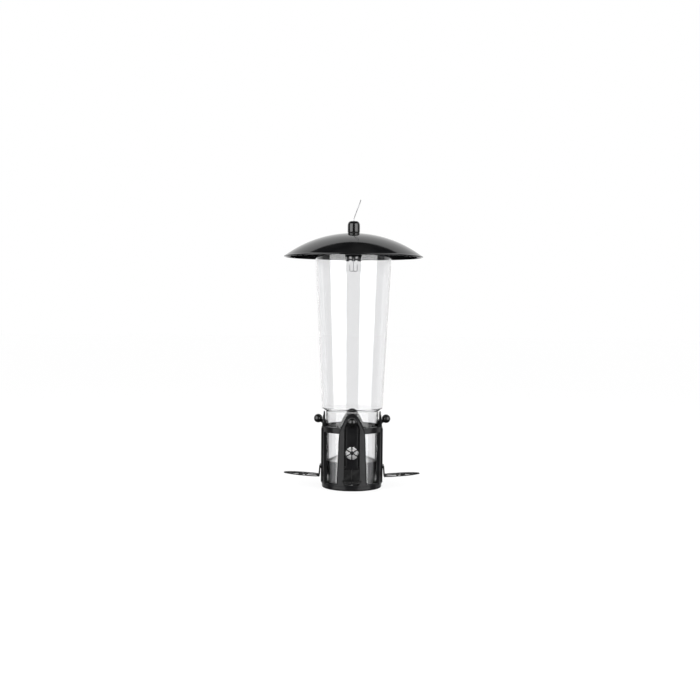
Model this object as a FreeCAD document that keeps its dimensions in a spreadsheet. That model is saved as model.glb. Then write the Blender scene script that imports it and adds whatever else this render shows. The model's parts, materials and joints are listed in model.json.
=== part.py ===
import FreeCAD, Part
import Sketcher
import math
import os

# Hanging tube bird feeder with four spring-closed ports.
# Origin: centre of the flat underside. +Z is up, -Y is the front port, all lengths are millimetres.

os.makedirs("parts", exist_ok=True)
doc = FreeCAD.newDocument("feeder")
V = FreeCAD.Vector
UP = V(0, 0, 1)

DIMENSIONS = {
    # base tray
    "base_radius": 43.7,
    "base_height": 7.0,
    "base_floor": 2.4,
    "base_rim_inner": 38.5,
    "base_edge": 2.4,
    "drain_length": 14.0,
    "drain_width": 3.0,
    "drain_centre": 21.0,
    # cage of four arched shrouds on a collar
    "cage_radius": 44.8,
    "cage_inner": 41.2,
    "cage_top_radius": 40.8,
    "cage_top_inner": 39.6,
    "bore_top": 98.7,
    "rib_radius": 46.2,
    "rib_width": 2.2,
    "rib_top": 87.0,
    "cage_foot_top": 9.0,
    "foot_radius": 43.7,
    "collar_bottom": 82.0,
    "collar_top": 90.5,
    "arch_foot_half": 21.6,
    "arch_waist_half": 19.2,
    "arch_waist_height": 70.0,
    "arch_shoulder_half": 18.0,
    "arch_shoulder_height": 85.0,
    "arch_neck_half": 11.2,
    "arch_neck_height": 100.0,
    "arch_apex": 110.5,
    "opening_half": 11.2,
    "opening_shoulder": 88.0,
    "opening_apex": 103.5,
    # clear tube
    "tube_wall": 2.0,
    "neck_radius": 38.2,
    "neck_top": 111.5,
    "shoulder_radius": 44.4,
    "shoulder_top": 115.5,
    "mouth_radius": 56.1,
    "tube_top": 350.0,
    "seed_hole_width": 16.0,
    "seed_hole_height": 12.0,
    "seed_hole_centre": 57.0,
    # seed baffle
    "skirt_radius": 35.8,
    "skirt_top": 39.0,
    "baffle_wall": 1.6,
    "cone_mid_radius": 21.7,
    "cone_mid_height": 45.5,
    "cone_top_radius": 6.0,
    "cone_top_height": 54.0,
    "cone_apex": 57.5,
    # crossbar at the mouth of the tube
    "bar_width": 22.0,
    "bar_bottom": 334.0,
    "bar_thickness": 3.6,
    "bar_half_length": 52.4,
    "bar_tab_width": 10.0,
    "bar_tab_reach": 56.5,
    "bar_slot_length": 14.4,
    "bar_slot_width": 3.8,
    "bar_gap": 0.3,
    "cap_width": 23.0,
    "cap_height": 5.8,
    "cap_inner": 56.5,
    "cap_thickness": 1.4,
    # sliding shutter with its grille
    "shutter_inner": 38.8,
    "shutter_outer": 40.6,
    "shutter_bottom": 24.0,
    "shutter_half_angle": 18.5,
    "shutter_shoulder": 90.0,
    "shutter_neck_half": 7.5,
    "shutter_top": 98.5,
    "lug_half": 4.0,
    "lug_height": 2.0,
    "lug_reach": 43.2,
    "grille_centre": 54.6,
    "grille_radius": 9.5,
    "grille_hub": 3.0,
    "grille_spoke": 2.0,
    "tab_slot_offset": 9.6,
    "tab_slot_width": 1.9,
    "tab_slot_bottom": 28.3,
    "tab_slot_top": 36.0,
    # knob on its stem
    "ball_radius": 6.3,
    "ball_reach": 49.5,
    "ball_height": 100.0,
    "stem_radius": 2.2,
    "stem_reach": 39.6,
    "stem_height": 92.5,
    "port_gap": 0.05,
    # perch
    "perch_half_width": 13.5,
    "perch_start": 47.4,
    "perch_tip": 99.5,
    "perch_start_height": 15.8,
    "perch_tip_height": 19.6,
    "perch_thickness": 1.6,
    "leaf_midrib": 1.3,
    "leaf_mesh_half": 11.0,
    "leaf_edge_start": 2.2,
    "leaf_wide_start": 9.0,
    "leaf_wide_end": 30.0,
    "leaf_tip_half": 4.2,
    "bracket_half": 10.6,
    "bracket_top": 32.0,
    "bracket_top_reach": 45.3,
    "bracket_thickness": 1.4,
    "bracket_tab": 1.5,
    "bracket_tab_height": 3.6,
    # compression springs and their pins
    "spring_reach": 41.1,
    "spring_radius": 1.55,
    "spring_wire": 0.25,
    "spring_bottom": 3.0,
    "spring_turns": 8.0,
    "spring_pocket": 2.1,
    "pin_radius": 0.9,
    "pin_top": 9.4,
    # screws that hold the baffle on the base
    "screw_reach": 31.0,
    "screw_angle": 22.5,
    "screw_radius": 1.15,
    "screw_head_radius": 2.3,
    "screw_head_bottom": 0.3,
    "screw_head_top": 1.5,
    "screw_top": 14.0,
    "screw_bore": 1.2,
    "screw_recess": 2.5,
    "boss_radius": 3.6,
    "boss_top": 16.0,
    # domed roof
    "dome_radius": 100.5,
    "dome_sphere": 166.3,
    "dome_rim_height": 335.6,
    "dome_wall": 1.2,
    "dome_hole": 4.1,
    "rim_roll": 1.5,
    # locating collar under the dome
    "locator_outer": 53.0,
    "locator_inner": 50.6,
    "locator_bottom": 340.0,
    "locator_top": 359.15,
    "locator_flange": 57.2,
    "locator_flange_thickness": 2.0,
    # finial
    "finial_radius": 8.95,
    "finial_bottom": 369.9,
    "finial_shoulder": 380.6,
    "finial_top": 386.6,
    "finial_flat": 4.4,
    "finial_bore": 1.8,
    "finial_spigot": 4.05,
    "finial_spigot_bottom": 364.6,
    "washer_radius": 7.6,
    "washer_thickness": 0.5,
    "clip_radius": 7.5,
    "clip_top": 367.8,
    "clip_thickness": 1.2,
    # hanger wire
    "wire_radius": 0.5,
    "strand_offset": 0.65,
    "hook_reach": 5.5,
    "hook_tip": 324.0,
    "hook_bottom": 314.0,
    "hook_bend": 2.6,
    "wire_bend": 390.0,
    "loop_lean": 20.0,
    "loop_half_width": 7.5,
    "loop_shoulder": 14.0,
    "loop_shoulder_bend": 12.0,
    "loop_foot_bend": 3.0,
    "loop_height": 29.0,
}

sheet = doc.addObject("Spreadsheet::Sheet", "Dim")
for row, (alias, number) in enumerate(DIMENSIONS.items(), start=1):
    sheet.set("A%d" % row, alias)
    sheet.set("B%d" % row, str(number))
    sheet.setAlias("B%d" % row, alias)
doc.recompute()

PORTS = {"front": 0, "right": 90, "back": 180, "left": 270}
# Corners of the two openings on each side of the perch's midrib: across, and out from the start of the leaf.
LEAF_HOLE_NEAR = (("Dim.leaf_midrib", "5"), ("9", "5"), ("Dim.leaf_mesh_half", "10"),
                  ("Dim.leaf_mesh_half", "17"), ("Dim.leaf_midrib", "22"))
LEAF_HOLE_FAR = (("Dim.leaf_midrib", "25"), ("Dim.leaf_mesh_half", "20"), ("Dim.leaf_mesh_half", "30"),
                 ("8", "37.5"), ("Dim.leaf_midrib", "40.5"))


def size(text):
    """The number that an expression over the sheet's aliases gives, with each alias written as Dim.alias."""
    return float(sheet.evalExpression(text))


def plane(body, role):
    for feature in body.Origin.OriginFeatures:
        if feature.Role == role:
            return feature


def new_body(name):
    return doc.addObject("PartDesign::Body", name)


def new_sketch(body, name, role, shift=None):
    """A sketch on one of the body's own planes; shift is an expression that moves it along the normal."""
    sketch = body.newObject("Sketcher::SketchObject", name)
    sketch.AttachmentSupport = (plane(body, role), [""])
    sketch.MapMode = "FlatFace"
    if shift:
        sketch.setExpression("AttachmentOffset.Base.z", shift)
    return sketch


def drive(sketch, kind, geometry, point, text):
    """Ties one coordinate of a point to the sheet."""
    number = sketch.addConstraint(Sketcher.Constraint(kind, -1, 1, geometry, point, size(text)))
    sketch.setExpression("Constraints[%d]" % number, text)


def outline(sketch, corners):
    """A closed outline through corners of (across, up[, bulge]), each an expression over the sheet.

    A bulge makes the side that starts at that corner an arc; it is the arc's height over half its chord.
    """
    first = sketch.GeometryCount
    places = [V(size(c[0]), size(c[1]), 0) for c in corners]
    for i, corner in enumerate(corners):
        start = places[i]
        end = places[(i + 1) % len(places)]
        if len(corner) == 3:
            chord = end - start
            side = V(chord.y, -chord.x, 0)
            middle = (start + end) * 0.5 + side * (corner[2] / 2.0)
            first_end, last_end = (start, end) if corner[2] > 0 else (end, start)
            sketch.addGeometry(Part.Arc(first_end, middle, last_end), False)
        else:
            sketch.addGeometry(Part.LineSegment(start, end), False)
    for i, corner in enumerate(corners):
        geometry = sketch.Geometry[first + i]
        begin = 1
        if geometry.StartPoint.distanceToPoint(places[i]) > 1e-6:
            begin = 2
        drive(sketch, "DistanceX", first + i, begin, corner[0])
        drive(sketch, "DistanceY", first + i, begin, corner[1])
    for i in range(len(corners)):
        here = sketch.Geometry[first + i]
        after = (i + 1) % len(corners)
        there = sketch.Geometry[first + after]
        end = places[after]
        here_end = 1 if here.StartPoint.distanceToPoint(end) < 1e-6 else 2
        there_start = 1 if there.StartPoint.distanceToPoint(end) < 1e-6 else 2
        sketch.addConstraint(Sketcher.Constraint("Coincident", first + i, here_end, first + after, there_start))
        if len(corners[i]) == 3 and abs(corners[i][2]) < 0.95:
            sketch.addConstraint(Sketcher.Constraint("Radius", first + i, here.Radius))


def circle(sketch, across, up, radius):
    number = sketch.addGeometry(Part.Circle(V(size(across), size(up), 0), UP, size(radius)), False)
    drive(sketch, "DistanceX", number, 3, across)
    drive(sketch, "DistanceY", number, 3, up)
    tie = sketch.addConstraint(Sketcher.Constraint("Radius", number, size(radius)))
    sketch.setExpression("Constraints[%d]" % tie, radius)


def revolve(body, sketch, name="Turned"):
    feature = body.newObject("PartDesign::Revolution", name)
    feature.Profile = sketch
    feature.ReferenceAxis = (sketch, ["V_Axis"])
    feature.Angle = 360.0
    sketch.Visibility = False
    return feature


def pad(body, sketch, length, middle=False, name="Pad"):
    feature = body.newObject("PartDesign::Pad", name)
    feature.Profile = sketch
    feature.setExpression("Length", length)
    if middle:
        feature.Midplane = True
    return feature


def pocket(body, sketch, length, middle=False, name="Pocket"):
    feature = body.newObject("PartDesign::Pocket", name)
    feature.Profile = sketch
    feature.setExpression("Length", length)
    if middle:
        feature.Midplane = True
    return feature


def ring(body, feature, count, name="Around"):
    """Repeats a feature round the Z axis; the pattern becomes the body's tip."""
    pattern = body.newObject("PartDesign::PolarPattern", name)
    pattern.Originals = [feature]
    pattern.Axis = (plane(body, "Z_Axis"), [""])
    pattern.Angle = 360.0
    pattern.Occurrences = count
    body.Tip = pattern
    return pattern


def cylinder(name, radius, bottom, top):
    solid = doc.addObject("Part::Cylinder", name)
    solid.setExpression("Radius", radius)
    solid.setExpression("Height", "(%s) - (%s)" % (top, bottom))
    solid.setExpression("Placement.Base.z", bottom)
    return solid


def tool(kind, name, base, cutter):
    feature = doc.addObject(kind, name)
    feature.Base = base
    feature.Tool = cutter
    return feature


def fuse(name, shapes):
    feature = doc.addObject("Part::MultiFuse", name)
    feature.Shapes = shapes
    return feature


def turned(angle):
    return FreeCAD.Placement(V(0, 0, 0), FreeCAD.Rotation(UP, angle))


def make_base():
    body = new_body("base_tray")
    profile = new_sketch(body, "BaseProfile", "XZ_Plane")
    outline(profile, [
        ("0", "0"),
        ("Dim.base_radius - Dim.base_edge", "0", 0.41421),
        ("Dim.base_radius", "Dim.base_edge"),
        ("Dim.base_radius", "Dim.base_height"),
        ("Dim.base_rim_inner", "Dim.base_height"),
        ("Dim.base_rim_inner", "Dim.base_floor"),
        ("0", "Dim.base_floor"),
    ])
    revolve(body, profile)
    slot = new_sketch(body, "DrainSlot", "XY_Plane")
    outline(slot, [
        ("Dim.drain_centre - Dim.drain_length / 2", "-Dim.drain_width / 2"),
        ("Dim.drain_centre + Dim.drain_length / 2", "-Dim.drain_width / 2"),
        ("Dim.drain_centre + Dim.drain_length / 2", "Dim.drain_width / 2"),
        ("Dim.drain_centre - Dim.drain_length / 2", "Dim.drain_width / 2"),
    ])
    cut = pocket(body, slot, "3 * Dim.base_floor", True, "DrainCut")
    ring(body, cut, 8, "Drains")
    spring = new_sketch(body, "SpringPocket", "XY_Plane", "Dim.base_height")
    circle(spring, "0", "-Dim.spring_reach", "Dim.spring_pocket")
    cut = pocket(body, spring, "Dim.base_height - Dim.spring_bottom", False, "SpringCut")
    ring(body, cut, 4, "SpringPockets")
    bore = new_sketch(body, "ScrewBore", "XY_Plane", "Dim.base_floor")
    across = "Dim.screw_reach * sin(Dim.screw_angle)"
    along = "-Dim.screw_reach * cos(Dim.screw_angle)"
    circle(bore, across, along, "Dim.screw_bore")
    cut = pocket(body, bore, "Dim.base_floor", False, "ScrewCut")
    ring(body, cut, 4, "ScrewBores")
    recess = new_sketch(body, "ScrewRecess", "XY_Plane")
    circle(recess, across, along, "Dim.screw_recess")
    cut = pocket(body, recess, "2 * Dim.screw_head_top", True, "RecessCut")
    ring(body, cut, 4, "ScrewRecesses")
    return body


def rib_bar(name, turn):
    """A bar a little wider than the openings, from which the ribs beside them are cut."""
    body = new_body(name)
    face = new_sketch(body, name + "Face", "XZ_Plane")
    half = "(Dim.opening_half + Dim.rib_width)"
    outline(face, [
        ("-" + half, "Dim.cage_foot_top"),
        (half, "Dim.cage_foot_top"),
        (half, "Dim.rib_top"),
        ("-" + half, "Dim.rib_top"),
    ])
    pad(body, face, "2 * Dim.cage_radius + 20", True)
    body.Placement = turned(turn)
    return body


def arch_prism(name, inner, turn):
    """A bar of arched section that runs through the cage, front to back."""
    body = new_body(name)
    face = new_sketch(body, name + "Face", "XZ_Plane")
    if inner:
        outline(face, [
            ("-Dim.opening_half", "Dim.cage_foot_top"),
            ("Dim.opening_half", "Dim.cage_foot_top"),
            ("Dim.opening_half", "Dim.opening_shoulder", 0.30),
            ("2", "Dim.opening_apex"),
            ("-2", "Dim.opening_apex", 0.30),
            ("-Dim.opening_half", "Dim.opening_shoulder"),
        ])
    else:
        outline(face, [
            ("-Dim.arch_foot_half", "Dim.base_height"),
            ("Dim.arch_foot_half", "Dim.base_height"),
            ("Dim.arch_waist_half", "Dim.arch_waist_height"),
            ("Dim.arch_shoulder_half", "Dim.arch_shoulder_height", 0.10),
            ("Dim.arch_neck_half", "Dim.arch_neck_height", 0.18),
            ("3", "Dim.arch_apex"),
            ("-3", "Dim.arch_apex", 0.18),
            ("-Dim.arch_neck_half", "Dim.arch_neck_height", 0.10),
            ("-Dim.arch_shoulder_half", "Dim.arch_shoulder_height"),
            ("-Dim.arch_waist_half", "Dim.arch_waist_height"),
        ])
    pad(body, face, "2 * Dim.cage_radius + 20", True)
    body.Placement = turned(turn)
    return body


def make_cage():
    straight = cylinder("CageStraight", "Dim.cage_radius", "Dim.base_height", "Dim.collar_top")
    taper = doc.addObject("Part::Cone", "CageTaper")
    taper.setExpression("Radius1", "Dim.cage_radius")
    taper.setExpression("Radius2", "Dim.cage_top_radius")
    taper.setExpression("Height", "Dim.arch_apex - Dim.collar_top")
    taper.setExpression("Placement.Base.z", "Dim.collar_top")
    bore = cylinder("CageBore", "Dim.cage_inner", "Dim.base_height - 1", "Dim.bore_top")
    bore_taper = doc.addObject("Part::Cone", "BoreTaper")
    bore_taper.setExpression("Radius1", "Dim.cage_inner")
    bore_taper.setExpression("Radius2", "Dim.cage_top_inner")
    bore_taper.setExpression("Height", "Dim.arch_apex + 1 - Dim.bore_top")
    bore_taper.setExpression("Placement.Base.z", "Dim.bore_top")
    inner = fuse("CageInner", [bore, bore_taper])
    wall = tool("Part::Cut", "CageWall", fuse("CageOuter", [straight, taper]), inner)
    rib_outer = cylinder("RibOuter", "Dim.rib_radius", "Dim.base_height", "Dim.rib_top")
    rib_inner = cylinder("RibInner", "Dim.cage_radius - 0.5", "Dim.base_height - 1", "Dim.rib_top + 1")
    rib_wall = tool("Part::Cut", "RibWall", rib_outer, rib_inner)
    rib_bars = [rib_bar("RibBar%d" % turn, turn) for turn in (0, 90)]
    ribs = tool("Part::Common", "Ribs", rib_wall, fuse("RibBars", rib_bars))
    collar = cylinder("CollarSlab", "Dim.cage_radius + 5", "Dim.collar_bottom", "Dim.collar_top")
    foot = cylinder("FootSlab", "Dim.foot_radius", "Dim.base_height", "Dim.cage_foot_top")
    bars = [arch_prism("ArchBar%d" % turn, False, turn) for turn in (0, 90)]
    kept = tool("Part::Common", "CageKept", wall, fuse("CageBands", bars + [collar, foot]))
    cutters = [arch_prism("OpeningBar%d" % turn, True, turn) for turn in (0, 90)]
    for name, angle in PORTS.items():
        relief = cylinder("SpringRelief" + name, "Dim.spring_pocket", "Dim.base_height - 1", "Dim.cage_foot_top + 1")
        reach = size("Dim.spring_reach")
        spin = math.radians(angle)
        relief.Placement.Base = V(reach * math.sin(spin), -reach * math.cos(spin), size("Dim.base_height") - 1)
        cutters.append(relief)
    cage = tool("Part::Cut", "cage", fuse("CageRibbed", [kept, ribs]), fuse("CageOpenings", cutters))
    return cage


def placed_screw(angle, height):
    spin = math.radians(angle + size("Dim.screw_angle"))
    reach = size("Dim.screw_reach")
    return FreeCAD.Placement(V(reach * math.sin(spin), -reach * math.cos(spin), height), FreeCAD.Rotation())


def make_screws():
    """Four identical pan-head screws, from below through the base into the bosses of the baffle."""
    solids = []
    for name, angle in PORTS.items():
        head = cylinder("ScrewHead" + name, "Dim.screw_head_radius", "Dim.screw_head_bottom", "Dim.screw_head_top")
        shank = cylinder("ScrewShank" + name, "Dim.screw_radius", "Dim.screw_head_top - 0.2", "Dim.screw_top")
        head.Placement = placed_screw(angle, size("Dim.screw_head_bottom"))
        shank.Placement = placed_screw(angle, size("Dim.screw_head_top") - 0.2)
        solids += [head, shank]
    return fuse("base_screws", solids)


def make_pins():
    """Four identical guide pins that stand in the spring pockets."""
    solids = []
    for name, angle in PORTS.items():
        pin = cylinder("Pin" + name, "Dim.pin_radius", "Dim.spring_bottom", "Dim.pin_top")
        spin = math.radians(angle)
        reach = size("Dim.spring_reach")
        pin.Placement.Base = V(reach * math.sin(spin), -reach * math.cos(spin), size("Dim.spring_bottom"))
        solids.append(pin)
    return fuse("spring_pins", solids)


def make_tube():
    body = new_body("seed_tube")
    profile = new_sketch(body, "TubeProfile", "XZ_Plane")
    outline(profile, [
        ("Dim.neck_radius - Dim.tube_wall", "Dim.base_floor"),
        ("Dim.neck_radius", "Dim.base_floor"),
        ("Dim.neck_radius", "Dim.neck_top"),
        ("Dim.shoulder_radius", "Dim.shoulder_top"),
        ("Dim.mouth_radius", "Dim.tube_top"),
        ("Dim.mouth_radius - Dim.tube_wall", "Dim.tube_top"),
        ("Dim.shoulder_radius - Dim.tube_wall", "Dim.shoulder_top + 1"),
        ("Dim.neck_radius - Dim.tube_wall", "Dim.neck_top + 1"),
    ])
    revolve(body, profile)
    for role, label in (("XZ_Plane", "FrontBack"), ("YZ_Plane", "LeftRight")):
        hole = new_sketch(body, "SeedHole" + label, role)
        half = "(Dim.seed_hole_width - Dim.seed_hole_height) / 2"
        low = "Dim.seed_hole_centre - Dim.seed_hole_height / 2"
        high = "Dim.seed_hole_centre + Dim.seed_hole_height / 2"
        outline(hole, [
            ("-" + half, low),
            (half, low, 1.0),
            (half, high),
            ("-" + half, high, 1.0),
        ])
        pocket(body, hole, "3 * Dim.neck_radius", True, "SeedCut" + label)
    slot = new_sketch(body, "BarSlot", "XZ_Plane")
    outline(slot, [
        ("-Dim.bar_tab_width / 2 - Dim.bar_gap", "Dim.bar_bottom - Dim.bar_gap"),
        ("Dim.bar_tab_width / 2 + Dim.bar_gap", "Dim.bar_bottom - Dim.bar_gap"),
        ("Dim.bar_tab_width / 2 + Dim.bar_gap", "Dim.bar_bottom + Dim.bar_thickness + Dim.bar_gap"),
        ("-Dim.bar_tab_width / 2 - Dim.bar_gap", "Dim.bar_bottom + Dim.bar_thickness + Dim.bar_gap"),
    ])
    pocket(body, slot, "3 * Dim.mouth_radius", True, "BarCut")
    return body


def make_baffle():
    body = new_body("seed_baffle")
    profile = new_sketch(body, "BaffleProfile", "XZ_Plane")
    outline(profile, [
        ("Dim.skirt_radius - Dim.baffle_wall", "Dim.base_floor"),
        ("Dim.skirt_radius", "Dim.base_floor"),
        ("Dim.skirt_radius", "Dim.skirt_top"),
        ("Dim.cone_mid_radius", "Dim.cone_mid_height"),
        ("Dim.cone_top_radius", "Dim.cone_top_height"),
        ("0", "Dim.cone_apex"),
        ("0", "Dim.cone_apex - 1.2 * Dim.baffle_wall"),
        ("Dim.cone_top_radius", "Dim.cone_top_height - 1.2 * Dim.baffle_wall"),
        ("Dim.cone_mid_radius", "Dim.cone_mid_height - 1.1 * Dim.baffle_wall"),
        ("Dim.skirt_radius - Dim.baffle_wall", "Dim.skirt_top - Dim.baffle_wall"),
    ])
    revolve(body, profile)
    boss = new_sketch(body, "BossSection", "XY_Plane", "Dim.base_floor")
    across = "Dim.screw_reach * sin(Dim.screw_angle)"
    along = "-Dim.screw_reach * cos(Dim.screw_angle)"
    circle(boss, across, along, "Dim.boss_radius")
    post = pad(body, boss, "Dim.boss_top - Dim.base_floor", False, "Boss")
    ring(body, post, 4, "Bosses")
    bore = new_sketch(body, "BossBore", "XY_Plane", "Dim.screw_top + 1")
    circle(bore, across, along, "Dim.screw_bore")
    cut = pocket(body, bore, "Dim.screw_top + 1", False, "BossCut")
    ring(body, cut, 4, "BossBores")
    return body


def make_bar():
    body = new_body("crossbar")
    plate = new_sketch(body, "BarPlate", "XY_Plane", "Dim.bar_bottom")
    outline(plate, [
        ("-Dim.bar_width / 2", "-Dim.bar_half_length + 1.6"),
        ("-Dim.bar_tab_width / 2", "-Dim.bar_half_length"),
        ("-Dim.bar_tab_width / 2", "-Dim.bar_tab_reach"),
        ("Dim.bar_tab_width / 2", "-Dim.bar_tab_reach"),
        ("Dim.bar_tab_width / 2", "-Dim.bar_half_length"),
        ("Dim.bar_width / 2", "-Dim.bar_half_length + 1.6"),
        ("Dim.bar_width / 2", "Dim.bar_half_length - 1.6"),
        ("Dim.bar_tab_width / 2", "Dim.bar_half_length"),
        ("Dim.bar_tab_width / 2", "Dim.bar_tab_reach"),
        ("-Dim.bar_tab_width / 2", "Dim.bar_tab_reach"),
        ("-Dim.bar_tab_width / 2", "Dim.bar_half_length"),
        ("-Dim.bar_width / 2", "Dim.bar_half_length - 1.6"),
    ])
    pad(body, plate, "Dim.bar_thickness")
    slot = new_sketch(body, "HookSlot", "XY_Plane", "Dim.bar_bottom + Dim.bar_thickness")
    outline(slot, [
        ("-Dim.bar_slot_length / 2", "-Dim.bar_slot_width / 2"),
        ("Dim.bar_slot_length / 2", "-Dim.bar_slot_width / 2"),
        ("Dim.bar_slot_length / 2", "Dim.bar_slot_width / 2"),
        ("-Dim.bar_slot_length / 2", "Dim.bar_slot_width / 2"),
    ])
    pocket(body, slot, "Dim.bar_thickness", False, "HookCut")
    return body


def make_bar_caps():
    """Two identical plates, outside the tube at each end of the crossbar."""
    plates = []
    for name, turn in (("Front", 0), ("Back", 180)):
        plate = doc.addObject("Part::Box", "Cap" + name)
        plate.setExpression("Length", "Dim.cap_width")
        plate.setExpression("Width", "Dim.cap_thickness")
        plate.setExpression("Height", "Dim.cap_height")
        low = size("Dim.bar_bottom") + (size("Dim.bar_thickness") - size("Dim.cap_height")) / 2
        corner = V(-size("Dim.cap_width") / 2, -size("Dim.cap_inner") - size("Dim.cap_thickness"), low)
        plate.Placement = turned(turn).multiply(FreeCAD.Placement(corner, FreeCAD.Rotation()))
        plates.append(plate)
    return fuse("bar_caps", plates)


def grille(sketch):
    """Six petal openings between six spokes, with one spoke straight up."""
    centre = V(0, size("Dim.grille_centre"), 0)
    rim = size("Dim.grille_radius")
    hub = size("Dim.grille_hub")
    spoke = size("Dim.grille_spoke")
    for petal in range(6):
        middle = math.radians(60 * petal)
        outer_half = math.radians(30) - math.asin(spoke / 2 / rim)
        inner_half = math.radians(30) - math.asin(spoke / 2 / hub) + 0.12
        corner = []
        for radius, angle in ((hub, -inner_half), (rim, -outer_half), (rim, outer_half), (hub, inner_half)):
            spot = centre + V(radius * math.cos(middle + angle), radius * math.sin(middle + angle), 0)
            corner.append((str(spot.x), "Dim.grille_centre + %s" % (spot.y - centre.y)))
        corner[1] = corner[1] + (math.tan(outer_half / 2.0),)
        outline(sketch, corner)


def make_shutter(name, angle):
    body = new_body("shutter_" + name)
    section = new_sketch(body, "Section" + name, "XY_Plane", "Dim.shutter_bottom")
    half = "Dim.shutter_half_angle"
    bulge = math.tan(math.radians(size(half)) / 2.0)
    outline(section, [
        ("-Dim.shutter_outer * sin(%s)" % half, "-Dim.shutter_outer * cos(%s)" % half, bulge),
        ("Dim.shutter_outer * sin(%s)" % half, "-Dim.shutter_outer * cos(%s)" % half),
        ("Dim.shutter_inner * sin(%s)" % half, "-Dim.shutter_inner * cos(%s)" % half, -bulge),
        ("-Dim.shutter_inner * sin(%s)" % half, "-Dim.shutter_inner * cos(%s)" % half),
    ])
    pad(body, section, "Dim.shutter_top - Dim.shutter_bottom")
    lug = new_sketch(body, "Lug" + name, "XY_Plane", "Dim.shutter_bottom")
    outline(lug, [
        ("-Dim.lug_half", "-Dim.lug_reach"),
        ("Dim.lug_half", "-Dim.lug_reach"),
        ("Dim.lug_half", "-Dim.shutter_inner - 0.5"),
        ("-Dim.lug_half", "-Dim.shutter_inner - 0.5"),
    ])
    pad(body, lug, "Dim.lug_height", False, "LugPad")
    for side, sign in (("L", "-"), ("R", "")):
        shoulder = new_sketch(body, "Shoulder" + side + name, "XZ_Plane")
        outline(shoulder, [
            (sign + "Dim.shutter_neck_half", "Dim.shutter_top + 1"),
            (sign + "Dim.shutter_neck_half", "Dim.shutter_top"),
            (sign + "(Dim.opening_half + 3)", "Dim.shutter_shoulder"),
            (sign + "(Dim.opening_half + 8)", "Dim.shutter_shoulder"),
            (sign + "(Dim.opening_half + 8)", "Dim.shutter_top + 1"),
        ])
        pocket(body, shoulder, "3 * Dim.shutter_outer", True, "ShoulderCut" + side)
    flower = new_sketch(body, "Flower" + name, "XZ_Plane")
    grille(flower)
    pocket(body, flower, "3 * Dim.shutter_outer", True, "FlowerCut")
    slots = new_sketch(body, "TabSlots" + name, "XZ_Plane")
    for sign in ("-", ""):
        near = sign + "(Dim.tab_slot_offset - Dim.tab_slot_width / 2)"
        far = sign + "(Dim.tab_slot_offset + Dim.tab_slot_width / 2)"
        outline(slots, [
            (near, "Dim.tab_slot_bottom"),
            (far, "Dim.tab_slot_bottom"),
            (far, "Dim.tab_slot_top"),
            (near, "Dim.tab_slot_top"),
        ])
    pocket(body, slots, "3 * Dim.shutter_outer", True, "TabCut")
    body.Placement = turned(angle)
    return body


def make_knob(name, angle):
    """A ball on a slanting stem, whose foot follows the face of the shutter."""
    ball = doc.addObject("Part::Sphere", "Ball" + name)
    ball.setExpression("Radius", "Dim.ball_radius")
    ball.setExpression("Placement.Base.y", "-Dim.ball_reach")
    ball.setExpression("Placement.Base.z", "Dim.ball_height")
    stem = doc.addObject("Part::Cylinder", "Stem" + name)
    stem.setExpression("Radius", "Dim.stem_radius")
    run = size("Dim.ball_reach") - size("Dim.stem_reach")
    rise = size("Dim.ball_height") - size("Dim.stem_height")
    stem.Height = math.hypot(run, rise)
    tilt = FreeCAD.Rotation(UP, V(0, -run, rise))
    stem.Placement = FreeCAD.Placement(V(0, -size("Dim.stem_reach"), size("Dim.stem_height")), tilt)
    solid = fuse("BallOnStem" + name, [ball, stem])
    bore = cylinder("KnobBore" + name, "Dim.shutter_outer + Dim.port_gap", "Dim.stem_height - 20", "Dim.ball_height + 20")
    knob = tool("Part::Cut", "knob_" + name, solid, bore)
    knob.Placement = turned(angle)
    return knob


def perch_height(reach):
    """The height of the perch's upper face, as an expression, at a distance out from the axis."""
    slope = "(Dim.perch_tip_height - Dim.perch_start_height) / (Dim.perch_tip - Dim.perch_start)"
    return "(Dim.perch_start_height + Dim.perch_thickness + (%s - Dim.perch_start) * %s)" % (reach, slope)


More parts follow.
